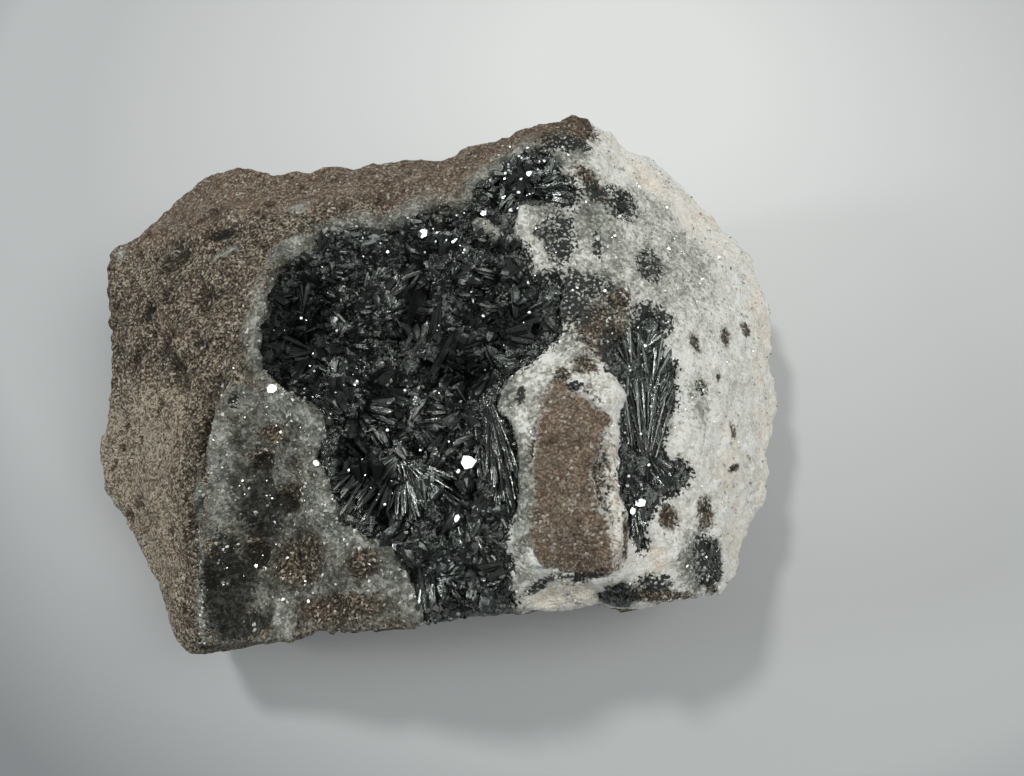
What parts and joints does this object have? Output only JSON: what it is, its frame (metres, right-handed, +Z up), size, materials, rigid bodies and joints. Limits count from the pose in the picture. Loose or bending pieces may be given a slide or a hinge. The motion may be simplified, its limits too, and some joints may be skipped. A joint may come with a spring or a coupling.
{
  "type": "pyrolusite on matrix mineral specimen",
  "caption": "Loose hand specimen: brown volcanic rock with a pale vein at one end and black bladed pyrolusite crystals lining a hollow and a narrow cleft on top.",
  "frame": {"origin": "middle of the flat underside of the stone, on the surface it lies on", "axes": "+X towards the pale vein's end, +Y towards the stone's back edge, +Z up, out of the crystal side"},
  "size_m": [0.0742, 0.0544, 0.0262],
  "materials": {
    "brown_rock": "rough broken volcanic rock",
    "pale_spar": "sugary, slightly see-through",
    "pyrolusite": "shiny black metallic crystals"
  },
  "bodies": {
    "root": {"host_rock": "brown_rock", "pale_vein": "pale_spar", "rock_fragment": "brown_rock", "pyrolusite_crust": "pyrolusite", "pyrolusite_band": "pyrolusite", "pyrolusite_front_tuft": "pyrolusite", "pyrolusite_corner_tuft": "pyrolusite"}
  },
  "joints": []
}
